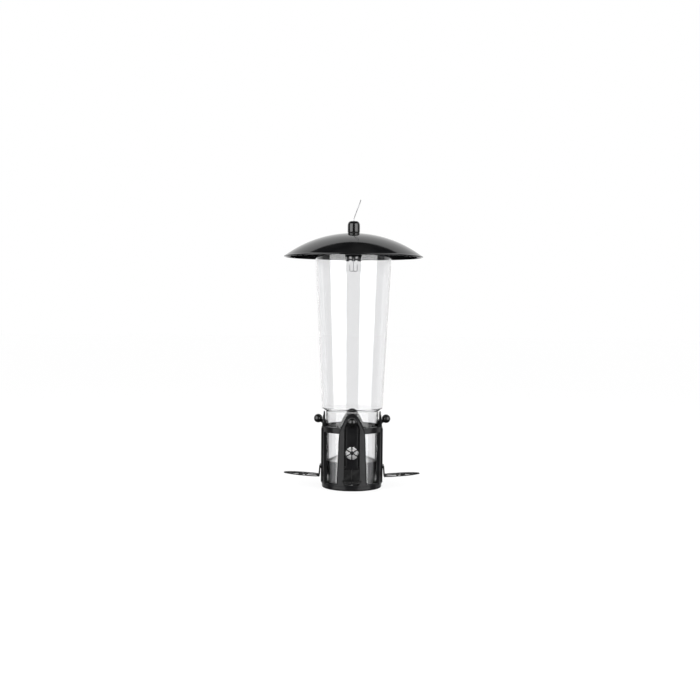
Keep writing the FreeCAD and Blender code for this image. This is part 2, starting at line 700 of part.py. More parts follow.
def make_perch(name, angle):
    """A flat leaf-shaped lattice on a bracket, with two tabs that hook into the shutter."""
    body = new_body("perch_" + name)
    side = new_sketch(body, "PerchSide" + name, "YZ_Plane")
    outline(side, [
        ("-Dim.perch_start", "Dim.perch_start_height"),
        ("-Dim.perch_tip", "Dim.perch_tip_height"),
        ("-Dim.perch_tip", "Dim.perch_tip_height + Dim.perch_thickness"),
        ("-Dim.perch_start", "Dim.perch_start_height + Dim.perch_thickness"),
    ])
    pad(body, side, "2 * Dim.perch_half_width", True)
    leaf = new_sketch(body, "Leaf" + name, "XY_Plane")
    outline(leaf, [
        ("-Dim.perch_half_width - 2", "-Dim.perch_start - Dim.leaf_edge_start"),
        ("-Dim.perch_half_width - 2", "-Dim.perch_tip - 2"),
        ("Dim.perch_half_width + 2", "-Dim.perch_tip - 2"),
        ("Dim.perch_half_width + 2", "-Dim.perch_start - Dim.leaf_edge_start"),
        ("Dim.bracket_half", "-Dim.perch_start - Dim.leaf_edge_start"),
        ("Dim.perch_half_width", "-Dim.perch_start - Dim.leaf_wide_start"),
        ("Dim.perch_half_width", "-Dim.perch_start - Dim.leaf_wide_end", -0.16),
        ("Dim.leaf_tip_half", "-Dim.perch_tip + Dim.perch_thickness", -0.35),
        ("-Dim.leaf_tip_half", "-Dim.perch_tip + Dim.perch_thickness", -0.16),
        ("-Dim.perch_half_width", "-Dim.perch_start - Dim.leaf_wide_end"),
        ("-Dim.perch_half_width", "-Dim.perch_start - Dim.leaf_wide_start"),
        ("-Dim.bracket_half", "-Dim.perch_start - Dim.leaf_edge_start"),
    ])
    pocket(body, leaf, "4 * Dim.perch_tip_height", True, "LeafCut")
    holes = new_sketch(body, "LeafHoles" + name, "XY_Plane")
    for sign in ("-", ""):
        for corners in (LEAF_HOLE_NEAR, LEAF_HOLE_FAR):
            outline(holes, [(sign + across, "-Dim.perch_start - " + out) for across, out in corners])
    pocket(body, holes, "4 * Dim.perch_tip_height", True, "HoleCut")
    bracket = new_sketch(body, "Bracket" + name, "YZ_Plane")
    outline(bracket, [
        ("-Dim.perch_start - 2.5", perch_height("Dim.perch_start + 2.5")),
        ("-Dim.perch_start", "Dim.perch_start_height"),
        ("-Dim.perch_start + Dim.bracket_thickness - 0.6", "Dim.perch_start_height"),
        ("-Dim.bracket_top_reach", "Dim.bracket_top"),
        ("-Dim.bracket_top_reach - Dim.bracket_thickness", "Dim.bracket_top"),
        ("-Dim.perch_start - 0.8", "Dim.perch_start_height + Dim.perch_thickness + 0.4"),
    ])
    pad(body, bracket, "2 * Dim.bracket_half", True, "BracketPad")
    for label, sign in (("L", "-"), ("R", "")):
        tab = new_sketch(body, "Tab" + label + name, "XZ_Plane", "Dim.shutter_inner + 0.2")
        near = sign + "(Dim.tab_slot_offset - Dim.bracket_tab / 2)"
        far = sign + "(Dim.tab_slot_offset + Dim.bracket_tab / 2)"
        outline(tab, [
            (near, "Dim.bracket_top - Dim.bracket_tab_height"),
            (far, "Dim.bracket_top - Dim.bracket_tab_height"),
            (far, "Dim.bracket_top"),
            (near, "Dim.bracket_top"),
        ])
        reach = "Dim.bracket_top_reach - Dim.shutter_inner + 0.6"
        pad(body, tab, reach, False, "TabPad" + label)
    body.Placement = turned(angle)
    return body


def make_spring(name, angle):
    coil = doc.addObject("Part::Helix", "Coil" + name)
    coil.setExpression("Radius", "Dim.spring_radius")
    length = "(Dim.shutter_bottom - Dim.spring_bottom - 2 * Dim.spring_wire)"
    coil.setExpression("Height", length)
    coil.setExpression("Pitch", "%s / Dim.spring_turns" % length)
    section = doc.addObject("Part::Circle", "CoilSection" + name)
    section.setExpression("Radius", "Dim.spring_wire")
    spot = V(size("Dim.spring_radius"), 0, 0)
    section.Placement = FreeCAD.Placement(spot, FreeCAD.Rotation(V(1, 0, 0), 90))
    spring = doc.addObject("Part::Sweep", "spring_" + name)
    spring.Sections = [section]
    spring.Spine = (coil, ["Edge1"])
    spring.Solid = True
    spring.Frenet = True
    spin = math.radians(angle)
    reach = size("Dim.spring_reach")
    height = size("Dim.spring_bottom") + size("Dim.spring_wire")
    spot = V(reach * math.sin(spin), -reach * math.cos(spin), height)
    spring.Placement = FreeCAD.Placement(spot, FreeCAD.Rotation(UP, angle))
    return spring


def make_dome():
    body = new_body("roof_dome")
    profile = new_sketch(body, "DomeProfile", "XZ_Plane")
    reach = size("Dim.dome_sphere")
    centre = size("Dim.dome_rim_height") - math.sqrt(reach ** 2 - size("Dim.dome_radius") ** 2)

    def skin(radius, across):
        return str(centre + math.sqrt(radius ** 2 - across ** 2))

    def arc_bulge(radius, start, end):
        sweep = abs(math.asin(end / radius) - math.asin(start / radius))
        return math.tan(sweep / 4.0)

    hole = size("Dim.dome_hole")
    wall = size("Dim.dome_wall")
    rim = size("Dim.dome_radius")
    roll = size("Dim.rim_roll")
    inner_edge = rim - 1.6 * roll
    outline(profile, [
        ("Dim.dome_hole", skin(reach, hole), -arc_bulge(reach, hole, rim)),
        ("Dim.dome_radius", "Dim.dome_rim_height", -0.7),
        ("Dim.dome_radius - 0.3", "Dim.dome_rim_height - Dim.rim_roll"),
        (str(inner_edge), "Dim.dome_rim_height - Dim.rim_roll"),
        (str(inner_edge), skin(reach - wall, inner_edge), arc_bulge(reach - wall, hole, inner_edge)),
        ("Dim.dome_hole", skin(reach - wall, hole)),
    ])
    revolve(body, profile)
    return body


def make_locator():
    """The collar under the dome: its flange rests on the tube and its spigot centres it."""
    body = new_body("roof_locator")
    profile = new_sketch(body, "LocatorProfile", "XZ_Plane")
    top = "Dim.locator_top"
    outline(profile, [
        ("Dim.locator_inner", "Dim.locator_bottom"),
        ("Dim.locator_outer", "Dim.locator_bottom"),
        ("Dim.locator_outer", "Dim.tube_top"),
        ("Dim.locator_flange", "Dim.tube_top"),
        ("Dim.locator_flange", "Dim.tube_top + Dim.locator_flange_thickness"),
        ("Dim.locator_outer", "Dim.tube_top + Dim.locator_flange_thickness"),
        ("Dim.locator_outer", top),
        ("Dim.locator_inner", top + " + 0.75"),
    ])
    revolve(body, profile)
    return body


def make_finial():
    body = new_body("finial")
    profile = new_sketch(body, "FinialProfile", "XZ_Plane")
    outline(profile, [
        ("Dim.finial_bore", "Dim.finial_spigot_bottom"),
        ("Dim.finial_spigot", "Dim.finial_spigot_bottom"),
        ("Dim.finial_spigot", "Dim.finial_bottom"),
        ("Dim.finial_radius - 0.6", "Dim.finial_bottom"),
        ("Dim.finial_radius", "Dim.finial_bottom + 0.6"),
        ("Dim.finial_radius", "Dim.finial_shoulder", 0.36),
        ("Dim.finial_flat", "Dim.finial_top"),
        ("Dim.finial_bore", "Dim.finial_top"),
    ])
    revolve(body, profile)
    return body


def washer(name, outer, inner, bottom, top):
    disc = cylinder(name + "Disc", outer, bottom, top)
    hole = cylinder(name + "Hole", inner, "%s - 1" % bottom, "%s + 1" % top)
    return tool("Part::Cut", name, disc, hole)


def rounded_path(points, bends):
    """A wire of straight runs joined by tangent arcs; bends holds one radius for each inner point."""
    edges = []
    here = points[0]
    for i, radius in enumerate(bends, start=1):
        back = (points[i - 1] - points[i]).normalize()
        ahead = (points[i + 1] - points[i]).normalize()
        half = back.getAngle(ahead) / 2.0
        setback = radius / math.tan(half)
        start = points[i] + back * setback
        end = points[i] + ahead * setback
        inward = (back + ahead).normalize()
        middle = points[i] + inward * (radius / math.sin(half) - radius)
        edges.append(Part.makeLine(here, start))
        edges.append(Part.Arc(start, middle, end).toShape())
        here = end
    edges.append(Part.makeLine(here, points[-1]))
    return Part.Wire(edges)


def make_hanger():
    """One spring-steel wire: a hook, a strand up through the finial, a leaning loop and back down."""
    lean = math.radians(size("Dim.loop_lean"))
    foot = V(0, 0, size("Dim.wire_bend"))
    along = V(math.sin(lean), 0, math.cos(lean))
    wide = size("Dim.loop_half_width")
    strand = size("Dim.strand_offset")
    tip = size("Dim.hook_tip")
    low = size("Dim.hook_bottom")
    reach = size("Dim.hook_reach")
    shoulder = size("Dim.loop_shoulder")
    height = size("Dim.loop_height")

    def side(sign):
        return [
            V(-sign * reach, sign * strand, tip),
            V(-sign * reach, sign * strand, low),
            V(0, sign * strand, low),
            foot + V(0, sign * strand, 0),
            foot + along * shoulder + V(0, sign * wide, 0),
            foot + along * height + V(0, sign * wide, 0),
        ]

    points = side(-1) + side(1)[::-1]
    hook = size("Dim.hook_bend")
    bends = [hook, hook, size("Dim.loop_foot_bend"), size("Dim.loop_shoulder_bend"), wide * 0.98]
    path = rounded_path(points, bends + bends[::-1])
    section = Part.Wire(Part.makeCircle(size("Dim.wire_radius"), points[0], V(0, 0, -1)))
    hanger = doc.addObject("Part::Feature", "hanger_wire")
    hanger.Shape = path.makePipeShell([section], True, False)
    hanger.Placement = FreeCAD.Placement()
    return hanger


parts = [
    make_base(),
    make_cage(),
    make_screws(),
    make_pins(),
    make_tube(),
    make_baffle(),
    make_bar(),
    make_bar_caps(),
    make_dome(),
    make_locator(),
    make_finial(),
    washer("finial_washer", "Dim.washer_radius", "Dim.finial_spigot + 0.05",
           "Dim.finial_bottom - Dim.washer_thickness", "Dim.finial_bottom"),
    washer("finial_clip", "Dim.clip_radius", "Dim.finial_spigot + 0.02",
           "Dim.clip_top - Dim.clip_thickness", "Dim.clip_top"),
    make_hanger(),
]
for port, turn in PORTS.items():
    parts.append(make_shutter(port, turn))
    parts.append(make_knob(port, turn))
    parts.append(make_perch(port, turn))
    parts.append(make_spring(port, turn))

doc.recompute()
for item in doc.Objects:
    if "Invalid" in item.State or "Error" in item.State:
        raise RuntimeError("%s failed: %s" % (item.Name, item.State))
for item in parts:
    item.Label = item.Name
    if item.Shape.isNull() or not item.Shape.isValid():
        raise RuntimeError("%s has no valid shape" % item.Name)
for item in parts:
    item.Shape.exportStep(os.path.join("parts", item.Name + ".step"))
    box = item.Shape.BoundBox
    print("%-16s %2d solids %9.1f mm3  x %6.1f %6.1f  y %6.1f %6.1f  z %6.1f %6.1f" % (
        item.Name, len(item.Shape.Solids), item.Shape.Volume,
        box.XMin, box.XMax, box.YMin, box.YMax, box.ZMin, box.ZMax))
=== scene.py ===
import json
import math

import bmesh
import bpy
from mathutils import Matrix, Vector


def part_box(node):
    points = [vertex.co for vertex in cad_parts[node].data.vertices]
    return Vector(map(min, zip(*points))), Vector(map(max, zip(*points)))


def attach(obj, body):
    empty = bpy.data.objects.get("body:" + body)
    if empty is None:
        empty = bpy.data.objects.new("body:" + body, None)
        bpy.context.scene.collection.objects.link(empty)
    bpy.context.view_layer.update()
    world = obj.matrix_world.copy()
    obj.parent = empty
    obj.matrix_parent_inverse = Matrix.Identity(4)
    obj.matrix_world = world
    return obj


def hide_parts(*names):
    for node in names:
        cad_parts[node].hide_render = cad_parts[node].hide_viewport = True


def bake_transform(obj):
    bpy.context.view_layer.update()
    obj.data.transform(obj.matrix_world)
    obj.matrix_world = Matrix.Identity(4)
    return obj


# Hanging tube bird feeder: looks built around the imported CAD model. All lengths here are metres.

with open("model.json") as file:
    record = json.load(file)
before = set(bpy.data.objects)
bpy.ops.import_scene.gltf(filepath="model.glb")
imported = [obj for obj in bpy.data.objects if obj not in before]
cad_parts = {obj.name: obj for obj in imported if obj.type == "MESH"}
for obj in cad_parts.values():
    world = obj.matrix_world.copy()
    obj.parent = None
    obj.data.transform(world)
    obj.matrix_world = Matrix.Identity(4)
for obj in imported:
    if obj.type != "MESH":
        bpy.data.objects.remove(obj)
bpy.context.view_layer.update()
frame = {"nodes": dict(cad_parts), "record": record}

MM = 0.001
PORTS = {"front": 0.0, "right": 90.0, "back": 180.0, "left": 270.0}

# ---------------------------------------------------------------------------------------------
# Camera, floor and light
# ---------------------------------------------------------------------------------------------

CAMERA_DISTANCE = 1.55
CAMERA_HEIGHT = 0.268
AIM_HEIGHT = 0.1999
AIM_SIDE = -0.0040
LENS = 54.8
SENSOR_WIDTH = 36.0
ROLL = math.radians(0.5)

FLOOR_SIZE = 14.0
FLOOR_DROP = 0.0002
FLOOR_GREY = 0.12
FLOOR_GLOW = 0.84

SOFTBOX_SIDE = 1.15
SOFTBOX_DEPTH = -1.0
SOFTBOX_HEIGHT = 0.45
SOFTBOX_WIDE = 1.55
SOFTBOX_TALL = 1.9
SOFTBOX_POWER = 50.0
SOFTBOX_AIM = (0.0, 0.0, 0.25)

RIM_STRIP_PLACE = (-0.69, -0.50, 0.03)
RIM_STRIP_AIM = (0.0, -0.05, 0.334)
RIM_STRIP_WIDE = 1.0
RIM_STRIP_TALL = 0.6
RIM_STRIP_POWER = 9.0


def make_camera():
    """A camera without depth of field, rolled very slightly about its own axis."""
    data = bpy.data.cameras.new("camera")
    data.lens = LENS
    data.sensor_width = SENSOR_WIDTH
    data.dof.use_dof = False
    camera = bpy.data.objects.new("camera", data)
    bpy.context.collection.objects.link(camera)
    eye = Vector((AIM_SIDE, -CAMERA_DISTANCE, CAMERA_HEIGHT))
    aim = Vector((AIM_SIDE, 0.0, AIM_HEIGHT))
    facing = (aim - eye).to_track_quat("-Z", "Y")
    turned = facing.to_matrix().to_4x4() @ Matrix.Rotation(ROLL, 4, "Z")
    camera.matrix_world = Matrix.Translation(eye) @ turned
    bpy.context.scene.camera = camera


def area_light(name, place, aim, width, height, power):
    """A rectangular light at a place, turned towards its aim."""
    data = bpy.data.lights.new(name, "AREA")
    data.shape = "RECTANGLE"
    data.size = width
    data.size_y = height
    data.energy = power
    light = bpy.data.objects.new(name, data)
    bpy.context.collection.objects.link(light)
    light.location = place
    light.rotation_euler = (Vector(aim) - Vector(place)).to_track_quat("-Z", "Y").to_euler()
    return light


def link_light(light, name, pieces):
    """The light reaches only the named pieces."""
    group = bpy.data.collections.new(name)
    for piece in pieces:
        group.objects.link(bpy.data.objects[piece])
    light.light_linking.receiver_collection = group


def dark_card(name, corners, faces):
    """A black card that shapes the reflections, as a photographer's flag does. The camera doesn't see it."""
    mesh = bpy.data.meshes.new(name)
    mesh.from_pydata(corners, [], faces)
    card = bpy.data.objects.new(name, mesh)
    bpy.context.collection.objects.link(card)
    material = bpy.data.materials.new(name)
    material.use_nodes = True
    shader = material.node_tree.nodes["Principled BSDF"]
    shader.inputs["Base Color"].default_value = (0.0, 0.0, 0.0, 1.0)
    shader.inputs["Roughness"].default_value = 1.0
    shader.inputs["Specular IOR Level"].default_value = 0.0
    mesh.materials.append(material)
    card.visible_camera = False
    card.visible_shadow = False
    card.visible_diffuse = False
    card.visible_transmission = False


def flat_card(name, half_width, near, far, height):
    """A level card between two depths."""
    corners = [(-half_width, near, height), (half_width, near, height),
               (half_width, far, height), (-half_width, far, height)]
    dark_card(name, corners, [(0, 1, 2, 3)])


def curved_card(name, radius, half_angle, low, high, steps=24):
    """A standing card bent round the camera's side of the object."""
    corners = []
    for step in range(steps + 1):
        angle = math.radians(half_angle) * (2.0 * step / steps - 1.0)
        for height in (low, high):
            corners.append((radius * math.sin(angle), -radius * math.cos(angle), height))
    faces = [(2 * i, 2 * i + 2, 2 * i + 3, 2 * i + 1) for i in range(steps)]
    dark_card(name, corners, faces)


def make_world():
    """An even white surround, shown without any grading."""
    world = bpy.data.worlds.new("studio")
    bpy.context.scene.world = world
    world.use_nodes = True
    world.node_tree.nodes["Background"].inputs["Color"].default_value = (1.0, 1.0, 1.0, 1.0)
    world.node_tree.nodes["Background"].inputs["Strength"].default_value = 1.0
    bpy.context.scene.view_settings.view_transform = "Standard"
    bpy.context.scene.view_settings.look = "None"


def make_floor():
    """A floor that glows almost as white as the surround, with a faint shadow on it."""
    bpy.ops.mesh.primitive_plane_add(size=FLOOR_SIZE, location=(0.0, 0.0, -FLOOR_DROP))
    floor = bpy.context.object
    floor.name = "floor"
    material = bpy.data.materials.new("floor_white")
    material.use_nodes = True
    shader = material.node_tree.nodes["Principled BSDF"]
    shader.inputs["Base Color"].default_value = (FLOOR_GREY, FLOOR_GREY, FLOOR_GREY, 1.0)
    shader.inputs["Roughness"].default_value = 0.9
    shader.inputs["Specular IOR Level"].default_value = 0.1
    shader.inputs["Emission Color"].default_value = (1.0, 1.0, 1.0, 1.0)
    shader.inputs["Emission Strength"].default_value = FLOOR_GLOW
    floor.data.materials.append(material)
    floor.visible_glossy = False


def make_lights():
    """Two softboxes, left and right of the view, and a low strip that lights only the dome."""
    for name, side in (("soft_left", -SOFTBOX_SIDE), ("soft_right", SOFTBOX_SIDE)):
        place = (side, SOFTBOX_DEPTH, SOFTBOX_HEIGHT)
        area_light(name, place, SOFTBOX_AIM, SOFTBOX_WIDE, SOFTBOX_TALL, SOFTBOX_POWER)
    strip_light = area_light("rim_strip", RIM_STRIP_PLACE, RIM_STRIP_AIM,
                             RIM_STRIP_WIDE, RIM_STRIP_TALL, RIM_STRIP_POWER)
    link_light(strip_light, "dome_only", ["dome_shell"])


def make_flags():
    """Black cards in front, overhead and below, which the gloss parts reflect as their dark areas."""
    curved_card("flag_camera_side", radius=2.4, half_angle=105.0, low=-0.65, high=3.2)
    flat_card("flag_top", half_width=1.7, near=-2.2, far=1.55, height=2.2)
    flat_card("flag_floor", half_width=2.6, near=-2.6, far=2.6, height=-0.6)


def make_stage():
    """Everything round the object: surround, floor, lights and flags."""
    make_world()
    make_floor()
    make_lights()
    make_flags()


# ---------------------------------------------------------------------------------------------
# Materials
# ---------------------------------------------------------------------------------------------


def new_material(name, colour, roughness, **sockets):
    """A node material with one shader; further sockets are given by name, with _ for each space."""
    material = bpy.data.materials.new(name)
    material.use_nodes = True
    shader = material.node_tree.nodes["Principled BSDF"]
    shader.inputs["Base Color"].default_value = (*colour, 1.0)
    shader.inputs["Roughness"].default_value = roughness
    for socket, number in sockets.items():
        shader.inputs[socket.replace("_", " ")].default_value = number
    return material


def noise(material, scale, detail=3.0, roughness=0.55, stretch=(1.0, 1.0, 1.0)):
    """A noise texture in the piece's own coordinates, in cycles per metre along each axis."""
    nodes, links = material.node_tree.nodes, material.node_tree.links
    place = nodes.new("ShaderNodeTexCoord")
    mapping = nodes.new("ShaderNodeMapping")
    mapping.inputs["Scale"].default_value = stretch
    texture = nodes.new("ShaderNodeTexNoise")
    texture.inputs["Scale"].default_value = scale
    texture.inputs["Detail"].default_value = detail
    texture.inputs["Roughness"].default_value = roughness
    links.new(place.outputs["Object"], mapping.inputs["Vector"])
    links.new(mapping.outputs["Vector"], texture.inputs["Vector"])
    return texture.outputs["Fac"]


def ramp(material, source, low, high, start=0.3, end=0.7):
    """Maps a factor onto a range of numbers or colours."""
    nodes, links = material.node_tree.nodes, material.node_tree.links
    if isinstance(low, tuple):
        node = nodes.new("ShaderNodeValToRGB")
        node.color_ramp.elements[0].position = start
        node.color_ramp.elements[0].color = (*low, 1.0)
        node.color_ramp.elements[1].position = end
        node.color_ramp.elements[1].color = (*high, 1.0)
        links.new(source, node.inputs["Fac"])
        return node.outputs["Color"]
    node = nodes.new("ShaderNodeMapRange")
    node.inputs["From Min"].default_value = start
    node.inputs["From Max"].default_value = end
    node.inputs["To Min"].default_value = low
    node.inputs["To Max"].default_value = high
    links.new(source, node.inputs["Value"])
    return node.outputs["Result"]


def drive(material, socket, source):
    """Feeds one socket of the material's shader."""
    shader = material.node_tree.nodes["Principled BSDF"]
    material.node_tree.links.new(source, shader.inputs[socket])


def bump(material, height, distance, strength):
    """Raises the surface by a factor's pattern, up to a distance in metres."""
    nodes = material.node_tree.nodes
    node = nodes.new("ShaderNodeBump")
    node.inputs["Distance"].default_value = distance
    node.inputs["Strength"].default_value = strength
    material.node_tree.links.new(height, node.inputs["Height"])
    drive(material, "Normal", node.outputs["Normal"])


def make_enamel():
    """Gloss black enamel on spun steel: faint orange peel and slightly uneven gloss."""
    material = new_material("black_enamel", (0.005, 0.005, 0.005), 0.10, Specular_IOR_Level=0.26)
    colour = ramp(material, noise(material, 30.0), (0.003, 0.003, 0.0033), (0.007, 0.007, 0.0072))
    drive(material, "Base Color", colour)
    drive(material, "Roughness", ramp(material, noise(material, 60.0, 4.0), 0.05, 0.10))
    bump(material, noise(material, 420.0, 2.0), 0.00002, 0.35)
    return material


def make_black_plastic(name, low, high, roughness, spread, shine):
    """Moulded black plastic: fine grain in the gloss and a very slight pull in the surface."""
    material = new_material(name, low, roughness, Specular_IOR_Level=shine)
    drive(material, "Base Color", ramp(material, noise(material, 55.0, 4.0), low, high))
    gloss = ramp(material, noise(material, 140.0, 5.0), roughness - spread, roughness + spread)
    drive(material, "Roughness", gloss)
    bump(material, noise(material, 1500.0, 3.0), 0.00001, 0.3)
    return material


def make_clear():
    """Clear polycarbonate with faint draw lines down its length."""
    material = new_material("clear_plastic", (0.895, 0.895, 0.90), 0.03, IOR=1.10, Transmission_Weight=1.0,
                            Coat_Weight=0.75, Coat_Roughness=0.02, Coat_IOR=1.5)
    lines = noise(material, 60.0, 3.0, 0.5, (1.0, 1.0, 0.05))
    drive(material, "Roughness", ramp(material, lines, 0.015, 0.05))
    bump(material, lines, 0.00004, 0.15)
    return material


def height_of(material):
    """The height above the base, in metres, of the point being shaded."""
    nodes, links = material.node_tree.nodes, material.node_tree.links
    place = nodes.new("ShaderNodeTexCoord")
    split = nodes.new("ShaderNodeSeparateXYZ")
    links.new(place.outputs["Object"], split.inputs["Vector"])
    return split.outputs["Z"]


def mixed(material, factor, low, high):
    """One colour output faded into another by a factor."""
    nodes, links = material.node_tree.nodes, material.node_tree.links
    node = nodes.new("ShaderNodeMix")
    node.data_type = "RGBA"
    links.new(factor, node.inputs["Factor"])
    links.new(low, node.inputs["A"])
    links.new(high, node.inputs["B"])
    return node.outputs["Result"]


def make_grey_plastic():
    """Grey moulding coloured by height: the cone is painted pale as if lit from above, and the skirt under it
    is painted darker as its shade.
    """
    material = new_material("grey_plastic", (0.36, 0.36, 0.365), 0.45)
    skirt_noise = noise(material, 45.0, 4.0)
    cone_noise = noise(material, 120.0, 5.0)
    # Painted shade on the skirt and painted light on the cone, each with a little random tone.
    shaded_skirt = ramp(material, skirt_noise, (0.055, 0.055, 0.056), (0.08, 0.08, 0.082))
    lit_cone = ramp(material, cone_noise, (0.36, 0.36, 0.36), (0.62, 0.62, 0.61), 0.4, 0.62)
    # This height step at the cone's lower edge switches from the painted shade to the painted light.
    edge = ramp(material, height_of(material), 0.0, 1.0, 0.0385, 0.0402)
    drive(material, "Base Color", mixed(material, edge, shaded_skirt, lit_cone))
    drive(material, "Roughness", ramp(material, noise(material, 200.0, 4.0), 0.38, 0.52))
    bump(material, noise(material, 1200.0, 3.0), 0.00003, 0.4)
    return material


def make_steel():
    """Dull galvanised steel with fine drawing marks."""
    material = new_material("bright_steel", (0.62, 0.62, 0.63), 0.28, Metallic=1.0)
    colour = ramp(material, noise(material, 300.0, 4.0), (0.32, 0.32, 0.33), (0.46, 0.46, 0.47))
    drive(material, "Base Color", colour)
    drive(material, "Roughness", ramp(material, noise(material, 900.0, 3.0), 0.55, 0.7))
    bump(material, noise(material, 4000.0, 2.0), 0.000008, 0.5)
    return material


def make_rubber():
    """Soft black rubber with a matt skin."""
    material = new_material("seal_rubber", (0.022, 0.022, 0.022), 0.7)
    drive(material, "Roughness", ramp(material, noise(material, 300.0, 4.0), 0.6, 0.8))
    bump(material, noise(material, 2500.0, 3.0), 0.00003, 0.6)
    return material


def make_materials():
    """The material of each slot, by the slot's name."""
    return {
        "black_gloss": make_enamel(),
        "black_plastic": make_black_plastic(
            "black_plastic", (0.004, 0.004, 0.0044), (0.008, 0.008, 0.0084),
            roughness=0.2, spread=0.05, shine=0.11),
        "black_satin": make_black_plastic(
            "black_polished", (0.003, 0.003, 0.003), (0.006, 0.006, 0.006),
            roughness=0.10, spread=0.03, shine=0.42),
        "black_perch": make_black_plastic(
            "black_perch", (0.004, 0.004, 0.004), (0.008, 0.008, 0.008),
            roughness=0.24, spread=0.05, shine=0.12),
        "clear_plastic": make_clear(),
        "grey_plastic": make_grey_plastic(),
        "bright_steel": make_steel(),
        "seal_rubber": make_rubber(),
    }


# ---------------------------------------------------------------------------------------------
# Mesh helpers
# ---------------------------------------------------------------------------------------------


def spin(point, degrees):
    """The point turned about the feeder's axis."""
    return Matrix.Rotation(math.radians(degrees), 3, "Z") @ Vector(point)


def circle(reach, height, count):
    """Points round a level circle about the Z axis."""
    angles = [2.0 * math.pi * i / count for i in range(count)]
    return [Vector((reach * math.cos(a), reach * math.sin(a), height)) for a in angles]


def on_wall(across, height, reach):
    """A point on an upright cylinder of radius reach, on the front side."""
    return Vector((across, -math.sqrt(reach ** 2 - across ** 2), height))


def mirrored(points):
    """The points followed by their mirror image across the middle plane, so that they make one path."""
    return points + [Vector((-p.x, p.y, p.z)) for p in reversed(points)]


def round_corners(corners, radius, steps=4):
    """A closed 2-D outline with each corner rounded; a support point beside each arc keeps the flats flat."""
    path = []
    count = len(corners)
    for i, corner in enumerate(corners):
        here = Vector(corner)
        back = Vector(corners[i - 1]) - here
        ahead = Vector(corners[(i + 1) % count]) - here
        angle = back.angle(ahead)
        setback = min(radius / math.tan(angle / 2.0), 0.42 * back.length, 0.42 * ahead.length)
        start = here + back.normalized() * setback
        end = here + ahead.normalized() * setback
        path.append(start + back.normalized() * 0.12 * setback)
        for step in range(steps + 1):
            share = step / steps
            path.append(start * (1 - share) ** 2 + here * 2 * share * (1 - share) + end * share ** 2)
        path.append(end + ahead.normalized() * 0.12 * setback)
    return path


def lathe(profile, steps=160):
    """A closed 2-D profile of (reach, height) turned about the Z axis."""
    vertices = []
    count = len(profile)
    for step in range(steps):
        angle = 2.0 * math.pi * step / steps
        for reach, height in profile:
            vertices.append((reach * math.sin(angle), -reach * math.cos(angle), height))
    faces = []
    for step in range(steps):
        here = step * count
        there = (step + 1) % steps * count
        for i in range(count):
            after = (i + 1) % count
            faces.append((here + i, there + i, there + after, here + after))
    return vertices, faces


def smooth_path(points, steps=6, closed=False):
    """A path through the points, rounded as a Catmull-Rom spline."""
    path = []
    count = len(points)
    spans = count if closed else count - 1
    for i in range(spans):
        around = []
        for offset in (-1, 0, 1, 2):
            index = i + offset
            index = index % count if closed else min(max(index, 0), count - 1)
            around.append(points[index])
        a, b, c, d = around
        for step in range(steps):
            t = step / steps
            path.append(0.5 * (2 * b + (c - a) * t + (2 * a - 5 * b + 4 * c - d) * t ** 2
                               + (3 * b - a - 3 * c + d) * t ** 3))
    if not closed:
        path.append(points[-1])
    return path


def rod(path, radius, sides=10, closed=False, flat=1.0):
    """A round rod along a path, with domed ends when the path is open; flat squeezes it along Z."""
    vertices = []
    faces = []
    count = len(path)
    normal = None
    for i, point in enumerate(path):
        if closed:
            along = path[(i + 1) % count] - path[i - 1]
        else:
            along = path[min(i + 1, count - 1)] - path[max(i - 1, 0)]
        along.normalize()
        if normal is None:
            normal = along.orthogonal().normalized()
        normal = (normal - along * normal.dot(along)).normalized()
        side = along.cross(normal)
        for step in range(sides):
            angle = 2.0 * math.pi * step / sides
            offset = (normal * math.cos(angle) + side * math.sin(angle)) * radius
            offset.z *= flat
            vertices.append(point + offset)
    rings = count if closed else count - 1
    for i in range(rings):
        here = i * sides
        there = (i + 1) % count * sides
        for step in range(sides):
            after = (step + 1) % sides
            faces.append((here + step, here + after, there + after, there + step))
    if not closed:
        for i, way in ((0, -1), (count - 1, 1)):
            along = (path[1] - path[0]) if i == 0 else (path[-1] - path[-2])
            vertices.append(path[i] + along.normalized() * way * radius * 0.5)
            tip = len(vertices) - 1
            for step in range(sides):
                after = (step + 1) % sides
                ring = (i * sides + step, i * sides + after)
                faces.append((ring[1], ring[0], tip) if way < 0 else (ring[0], ring[1], tip))
    return vertices, faces


def joined(pieces):
    """Several (vertices, faces) pairs as one."""
    vertices = []
    faces = []
    for more_vertices, more_faces in pieces:
        start = len(vertices)
        vertices += [tuple(v) for v in more_vertices]
        faces += [tuple(start + i for i in face) for face in more_faces]
    return vertices, faces


def strip(rings, closed=True):
    """Faces between rings of equal count. The rings close on themselves, or else both ends are capped."""
    vertices = [tuple(v) for ring in rings for v in ring]
    faces = []
    count = len(rings[0])
    spans = len(rings) if closed else len(rings) - 1
    for i in range(spans):
        here = i * count
        there = (i + 1) % len(rings) * count
        for j in range(count):
            after = (j + 1) % count
            faces.append((here + j, here + after, there + after, there + j))
    if not closed:
        last = (len(rings) - 1) * count
        faces.append(tuple(reversed(range(count))))
        faces.append(tuple(range(last, last + count)))
    return vertices, faces


def lathe_open(profile, steps):
    """An open profile that starts and ends close to the axis, turned about Z."""
    return strip([circle(reach, height, steps) for reach, height in profile], False)


def boss(place, radius):
    """A small flattened moulded boss."""
    steps = 10
    flat = 0.6
    tip = 0.01 * MM
    angles = [math.pi * i / steps for i in range(steps + 1)]
    profile = [(radius * math.sin(a) + tip, -radius * flat * math.cos(a)) for a in angles]
    vertices, faces = lathe_open(profile, 16)
    return [place + Vector(v) for v in vertices], faces


